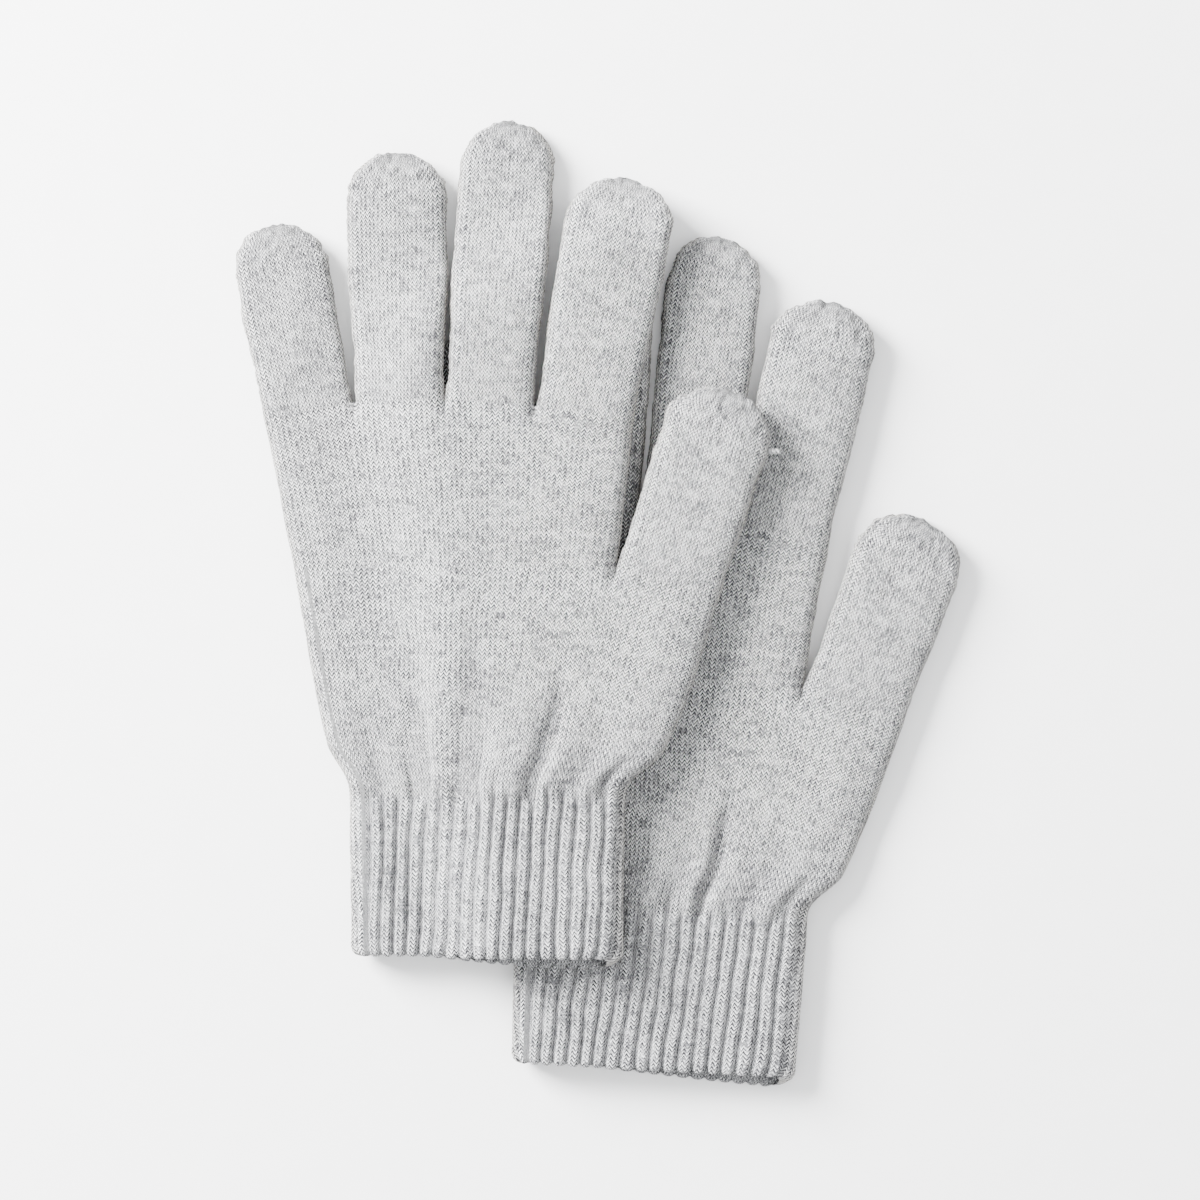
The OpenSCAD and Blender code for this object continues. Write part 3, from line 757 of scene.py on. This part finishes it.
def hand_relief(glove, ribs):
    def relief(f, z, p):
        groove = np.zeros(f.shape)
        height = lumps(glove, p, z)
        if ribs:
            strength = rib_strength(glove, f, p[..., 1])
            groove = rib_groove(glove, f, p[..., 1]) * strength * smooth(np.abs(z) * 3)
            near = smooth((p[..., 1] - CUFF_L) / 12)
            folds = gathers(glove, f, z, p[..., 1])
            height = lerp(0.6, 1, near) * height - RIB_DEPTH * groove + folds
            # The second value is a mask of painted shade for the material: the rib grooves and the fold
            # valleys are painted darker
            groove = groove + FOLD_SHADE * np.clip(-folds, 0, 2.5)
        return height, groove
    return relief


CUFF_COURSES = int(round((CUFF_L - HEM_L) / HALF_COURSE)) / 2
PALM_COURSES = int(round(PALM_L / HALF_COURSE)) / 2
PANEL_COURSES = int(round(PANEL_L / HALF_COURSE)) / 2


def make_palm(glove):
    name = GLOVES[glove]
    tube = Tube(glove, CUFF_WALES)

    def ring(layer, v, wall, course):
        y = lerp(CUFF_L, THUMB_FORK[1], v)
        t = lerp(CUFF_WALL, WALL, smooth((y - CUFF_L) / HEEL_L)) * wall
        tube.ring(layer, palm_plan(glove, v), palm_width(glove, v), hand_height(y), 0, t, course)

    for v, course in courses(PALM_L, CUFF_COURSES):
        ring("skin", v, 0, course)
    for v in stops(0, 1, 0.07):
        ring("lining", v, 1, CUFF_COURSES + v * PALM_COURSES)
    palm = shell_piece(name + "_palm_knit", tube, hand_relief(glove, True), PLAIN, (0, 1), rib_wales(glove))
    own(palm, name + "_hand", "plain_knit", name + "_palm")


def make_panel(glove):
    name = GLOVES[glove]
    marks = np.concatenate([[0], np.cumsum(DIGIT_W[:4]) / sum(DIGIT_W[:4])])
    top_w = np.linalg.norm(FORKS[4] - FORKS[0])
    tube = Tube(glove, int(round(PALM_W / WALE)))
    first = CUFF_COURSES + PALM_COURSES

    def ring(layer, v, t, course):
        def plan(f, z):
            return lerp(lerp(PALM_LEFT, THUMB_FORK, f[:, None]), bent(FORKS, marks, f), v)
        tube.ring(layer, plan, lerp(PALM_W, top_w, v), HAND_H, 0, t, course)

    for v, course in courses(PANEL_L, first):
        ring("skin", v, 0, course)
    for v in stops(0, 1, 0.1):
        ring("lining", v, WALL, first + v * PANEL_COURSES)
    panel = shell_piece(name + "_finger_panel_knit", tube, hand_relief(glove, False), PLAIN, (0, 1))
    own(panel, name + "_hand", "plain_knit", name + "_finger_panel")


# ---- Digits ----
def digit_width(d, s):
    return lerp(DIGIT_W[d], DIGIT_TIP_W[d], smooth(s / (0.6 * DIGIT_L[d])))


def digit_plan(d, s):
    def plan(f, z):
        return DIGIT_FROM[d] + s * along(LEAN[d]) + ((f - 0.5) * digit_width(d, s))[:, None] * across(LEAN[d])
    return plan


def end_plan(d, angle, t=0.0):
    a = np.radians(angle)
    s = DIGIT_L[d] - TIP_ROUND * (1 - np.sin(a)) - t * np.sin(a)

    def plan(f, z):
        side = (f - 0.5) * DIGIT_TIP_W[d] * np.cos(a)
        return DIGIT_FROM[d] + s * along(LEAN[d]) + side[:, None] * across(LEAN[d])
    return plan


def end_size(d, angle):
    c = np.cos(np.radians(angle))
    h = HAND_H * lerp(TIP_FLAT, 1, c)
    return DIGIT_TIP_W[d] * c, h, (HAND_H - h) / 3


def digit_first(d):
    """The number of a digit's first course."""
    return CUFF_COURSES + PALM_COURSES + (0 if d == THUMB else PANEL_COURSES) + 37 * d


def bend_at(d):
    return BEND[d] * DIGIT_L[d]


def tip_first(d):
    return digit_first(d) + int(round(bend_at(d) / HALF_COURSE)) / 2


def digit_relief(glove, d):
    def relief(f, z, p):
        q = p[..., :2] - DIGIT_FROM[d]
        s = q @ along(LEAN[d])
        height = lumps(glove, p, z)
        # The closed end is uneven: it was drawn together by hand-tightened loops
        ending = smooth((s - DIGIT_L[d] + TIP_ROUND + 4) / 9)
        x, y = p[..., 0] + 31 * d, p[..., 1] + 77 * glove
        height = height + ending * (0.45 * noise(x / 3.2, y / 3.2, 5) + 0.40 * noise(x / 1.25, y / 1.25, 8))
        # The edges of a finger wander a little
        edge = (1 - np.abs(z)) * smooth(s / 8)
        wander = 0.38 * noise(s / 6.5, 13.0 * d + 5 * glove + 1.5 * (f > 0.5), 6)
        wander = wander + (0.26 + 0.2 * ending) * noise(s / 1.25, 23.0 * d + 7 * glove + 1.5 * (f > 0.5), 9)
        return height + (wander - 0.5) * edge, np.zeros(f.shape)
    return relief


def digit_tube(glove, d):
    return Tube(glove, int(round(DIGIT_W[d] / WALE)))


def add_straight(tube, d, start, end, first):
    length = end - start
    last = first
    for v, course in courses(length, first):
        s = start + v * length
        tube.ring("skin", digit_plan(d, s), digit_width(d, s), HAND_H, 0, 0, course, pull=False)
        last = course
    for v in stops(0, 1, 4 / length):
        s = start + v * length
        course = lerp(first, last, v)
        tube.ring("lining", digit_plan(d, s), digit_width(d, s), HAND_H, 0, WALL, course, pull=False)
    return last


def frame_point(glove, d, s):
    """A point on a digit's middle line at the height of its front face, in metres in the frame."""
    p = DIGIT_FROM[d] + s * along(LEAN[d])
    return tuple(placed(glove, np.array([*p, HAND_H])) * MM)


def make_digit(glove, d):
    name = f"{GLOVES[glove]}_{DIGITS[d]}"
    hand = GLOVES[glove] + "_hand"
    bend = BEND[d] * DIGIT_L[d]
    base_body = name + "_base" if name + "_base" in frame["bodies"] else hand
    tip_body = name + "_tip" if name + "_tip" in frame["bodies"] else hand

    tube = digit_tube(glove, d)
    add_straight(tube, d, 0, bend, digit_first(d))
    base = shell_piece(name + "_base_knit", tube, digit_relief(glove, d), PLAIN, along(LEAN[d]))
    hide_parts(name + "_base")
    if base_body == hand:
        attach(base, hand)
    else:
        frame_point(glove, d, 0)
        frame_point(glove, d, BEND_ZONE)
        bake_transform(base)

    tube = digit_tube(glove, d)
    last = add_straight(tube, d, bend, DIGIT_L[d] - TIP_ROUND, tip_first(d))
    for i, angle in enumerate(stops(0, CLOSING_ANGLE, TIP_STEP)[1:]):
        w, h, z0 = end_size(d, angle)
        tube.ring("skin", end_plan(d, angle), w, h, z0, 0, last + (i + 1) / 2, pull=False)
    for angle in stops(0, CLOSING_ANGLE, LINING_STEP)[1:]:
        w, h, z0 = end_size(d, angle)
        tube.ring("lining", end_plan(d, angle, WALL), w, h, z0, WALL, last + angle / 5.2, pull=False)
    tip = shell_piece(name + "_tip_knit", tube, digit_relief(glove, d), PLAIN)
    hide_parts(name + "_tip")
    if tip_body == base_body:
        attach(tip, tip_body)
    else:
        frame_point(glove, d, bend)
        frame_point(glove, d, bend + BEND_ZONE)
        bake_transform(tip)
    make_closing(glove, d, tip_body)


def make_closing(glove, d, body):
    """The last loops, drawn together: a domed end with small pleats, closed by a fan at its middle."""
    name = f"{GLOVES[glove]}_{DIGITS[d]}_closing_stitches"
    tube = digit_tube(glove, d)
    for angle in stops(CLOSING_ANGLE, CLOSED_ANGLE, CLOSING_STEP):
        w, h, z0 = end_size(d, angle)
        tube.ring("skin", end_plan(d, angle), w, h, z0, 0, tip_first(d) + 60 + angle / 4.4, pull=False)
    rings = tube.grid("skin", "p")
    f, z = tube.grid("skin", "f"), tube.grid("skin", "z")
    skin = placed(glove, rings)
    height = digit_relief(glove, d)(f, z, rings)[0]
    inward = np.linspace(0, 1, len(rings))[:, None]
    n = rings.shape[1]
    pleats = -PLEAT_DEPTH * inward * (0.5 + 0.5 * np.cos(np.arange(n) / n * 2 * np.pi * PLEATS + 2 * d))
    skin = skin + normals(skin) * (height + pleats)[..., None]
    skin[..., 2] = np.maximum(skin[..., 2], ABOVE_FLOOR)
    count = len(skin)
    points = np.concatenate([skin.reshape(-1, 3), skin[0].mean(0)[None], skin[-1].mean(0)[None]])
    faces = [(i * n + k, i * n + (k + 1) % n, (i + 1) * n + (k + 1) % n, (i + 1) * n + k)
             for i in range(count - 1) for k in range(n)]
    faces += [(k, count * n, (k + 1) % n) for k in range(n)]
    faces += [((count - 1) * n + k, (count - 1) * n + (k + 1) % n, count * n + 1) for k in range(n)]
    u = tube.wale_at()[:-1]
    v = tube.grid("skin", "v")
    uv = np.stack([np.broadcast_to(u, v.shape), v], -1).reshape(-1, 2)
    uv = np.concatenate([uv, [[0, v[0, 0] - 1], [0, v[-1, 0] + 1]]])
    zeros = np.zeros(len(points))
    # Painted shade in the pleat valleys and at the middle of the drawn-together end
    groove = np.concatenate([(-pleats / PLEAT_DEPTH).ravel(), [0, 1]])
    attributes = {"side": zeros, "groove": groove, "open_work": zeros}
    piece = mesh_piece(name + "_knit", points, faces, uv, attributes, PLAIN, [(0, n)])
    own(piece, body, "closing_yarn", name)


# ---- Yarns ----
def strand(path, radius, around=8, swell=None):
    """Points, faces and UVs of a round strand along a path in millimetres, closed at both ends."""
    path = np.asarray(path, float)
    count = len(path)
    tangent = np.gradient(path, axis=0)
    tangent /= np.linalg.norm(tangent, axis=1, keepdims=True)
    up = np.array([0.0, 0.0, 1.0]) if abs(tangent[0, 2]) < 0.9 else np.array([1.0, 0.0, 0.0])
    side = np.cross(tangent, up)
    side /= np.linalg.norm(side, axis=1, keepdims=True)
    over = np.cross(side, tangent)
    angle = np.arange(around) / around * 2 * np.pi
    size = radius * (np.ones(count) if swell is None else swell)
    rings = path[:, None] + size[:, None, None] * (
        np.cos(angle)[None, :, None] * side[:, None] + np.sin(angle)[None, :, None] * over[:, None])
    points = np.concatenate([rings.reshape(-1, 3), path[:1], path[-1:]])
    faces = []
    for i in range(count - 1):
        here, there = i * around, (i + 1) * around
        for k in range(around):
            k1 = (k + 1) % around
            faces.append((here + k, there + k, there + k1, here + k1))
    last = (count - 1) * around
    faces += [(count * around, k, (k + 1) % around) for k in range(around)]
    faces += [(last + (k + 1) % around, last + k, count * around + 1) for k in range(around)]
    length = np.concatenate([[0], np.cumsum(np.linalg.norm(np.diff(path, axis=0), axis=1))])
    uv = np.stack([np.tile(angle / (2 * np.pi), count), np.repeat(length, around)], -1)
    uv = np.concatenate([uv, [[0, 0], [0, length[-1]]]])
    return points, faces, uv


def joined(strands):
    """One mesh's points, faces and UVs from several strands."""
    points, faces, uv, start = [], [], [], 0
    for p, f, t in strands:
        points.append(p)
        faces += [tuple(i + start for i in face) for face in f]
        uv.append(t)
        start += len(p)
    return np.concatenate(points), faces, np.concatenate(uv)


def make_elastic(glove):
    """Covered elastic yarns that lie round the inside of the cuff."""
    name = GLOVES[glove] + "_elastic_yarns"
    depth = CUFF_WALL + ELASTIC_GAP + ELASTIC_D / 2
    strands = []
    for i in range(1, ELASTIC_COUNT + 1):
        v = i / (ELASTIC_COUNT + 1)
        f, z = ring_stations(CUFF_W[glove] + CUFF_FLARE * v, CUFF_H, depth, 60, 9)
        plan = cuff_plan(glove, v=v)(f, z)
        half = CUFF_H / 2 - depth
        path = placed(glove, np.concatenate([plan, (CUFF_H / 2 + half * z)[:, None]], 1))
        strands.append(strand(np.concatenate([path, path[:2]]), ELASTIC_D / 2, 6))
    points, faces, uv = joined(strands)
    piece = mesh_piece(name + "_covered", points, faces, uv, {}, ELASTIC)
    own(piece, GLOVES[glove] + "_hand", "elastic_yarn", name)


def make_forks(glove):
    """Overlapped stitches under each fork: short V-shaped loops, front and back."""
    name = GLOVES[glove] + "_fork_stitches"
    strands = []
    for at, lean in SLITS:
        for row in range(2):
            s = -0.9 - 1.2 * row
            for face in (1, -1):
                t = np.linspace(-1, 1, 15)
                reach = 1.35 - 0.25 * row
                plan = at + (s + 0.8 * np.abs(t))[:, None] * along(lean) + (reach * t)[:, None] * across(lean)
                keep = fork_close(plan)
                high = HAND_H / 2 * (1 + face * keep) - face * (0.34 + 0.4 * t ** 4)
                path = placed(glove, np.concatenate([plan, high[:, None]], 1))
                path[:, 2] = np.maximum(path[:, 2], 0.5)
                strands.append(strand(path, 0.36, 8, 1 - 0.45 * t ** 4))
    points, faces, uv = joined(strands)
    piece = mesh_piece(name + "_loops", points, faces, uv, {}, TRIM)
    own(piece, GLOVES[glove] + "_hand", "closing_yarn", name)


def make_yarn_end():
    """Two plies twisted together and cut short, at the side of the upper thumb's tip."""
    d = THUMB
    root = DIGIT_FROM[d] + (DIGIT_L[d] - TIP_ROUND) * along(LEAN[d]) + DIGIT_TIP_W[d] / 2 * across(LEAN[d])
    t = np.linspace(0, 1, 26)
    strands = []
    for ply in (0, np.pi):
        out = -0.6 + 3.3 * t
        wind = 0.42 * np.stack([np.cos(9 * t + ply), np.sin(9 * t + ply)], -1)
        plan = root + out[:, None] * across(LEAN[d] - 14) + wind[:, :1] * along(LEAN[d])
        high = HAND_H / 2 + wind[:, 1] + 0.5 * t
        path = placed(UPPER, np.concatenate([plan, high[:, None]], 1))
        strands.append(strand(path, 0.5, 8, 1 - 0.6 * t ** 3))
    points, faces, uv = joined(strands)
    piece = mesh_piece("upper_thumb_yarn_end_plies", points, faces, uv, {}, TRIM)
    own(piece, "upper_thumb_tip", "closing_yarn", "upper_thumb_yarn_end")


# ---- Camera, floor and light ----
def make_stage():
    camera = bpy.data.objects.new("camera", bpy.data.cameras.new("camera"))
    camera.data.lens, camera.data.sensor_width = LENS, SENSOR
    camera.location = (0.0006, 0.0012, MIDDLE_HEIGHT + VIEW_W * LENS / SENSOR)
    bpy.context.collection.objects.link(camera)
    bpy.context.scene.camera = camera

    size = FLOOR_HALF
    mesh = bpy.data.meshes.new("floor")
    corners = [(-size, -size, 0), (size, -size, 0), (size, size, 0), (-size, size, 0)]
    mesh.from_pydata(corners, [], [(0, 1, 2, 3)])
    mesh.materials.append(floor_material())
    floor = bpy.data.objects.new("floor", mesh)
    bpy.context.collection.objects.link(floor)
    floor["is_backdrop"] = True

    def area(name, at, target, power, width):
        light = bpy.data.objects.new(name, bpy.data.lights.new(name, "AREA"))
        light.data.energy, light.data.size = power, width
        light.location = at
        light.rotation_euler = (Vector(target) - Vector(at)).to_track_quat("-Z", "Y").to_euler()
        bpy.context.collection.objects.link(light)

    area("key", (-0.95, 0.62, 0.56), (0, 0, 0), 165, 0.65)
    area("fill", (0.9, -0.3, 1.1), (0, 0, 0), 6, 1.2)
    world = bpy.data.worlds.new("soft_studio")
    world.use_nodes = True
    world.node_tree.nodes["Background"].inputs["Color"].default_value = (0.98, 0.99, 1, 1)
    world.node_tree.nodes["Background"].inputs["Strength"].default_value = 1.85
    bpy.context.scene.world = world


make_stage()
for glove in (UPPER, LOWER):
    make_cuff(glove)
    make_elastic(glove)
    make_palm(glove)
    make_panel(glove)
    make_forks(glove)
    for d in range(5):
        make_digit(glove, d)
make_yarn_end()

boxes = [[list(map(float, corner)) for corner in box] for box in (cad_bounds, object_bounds())]
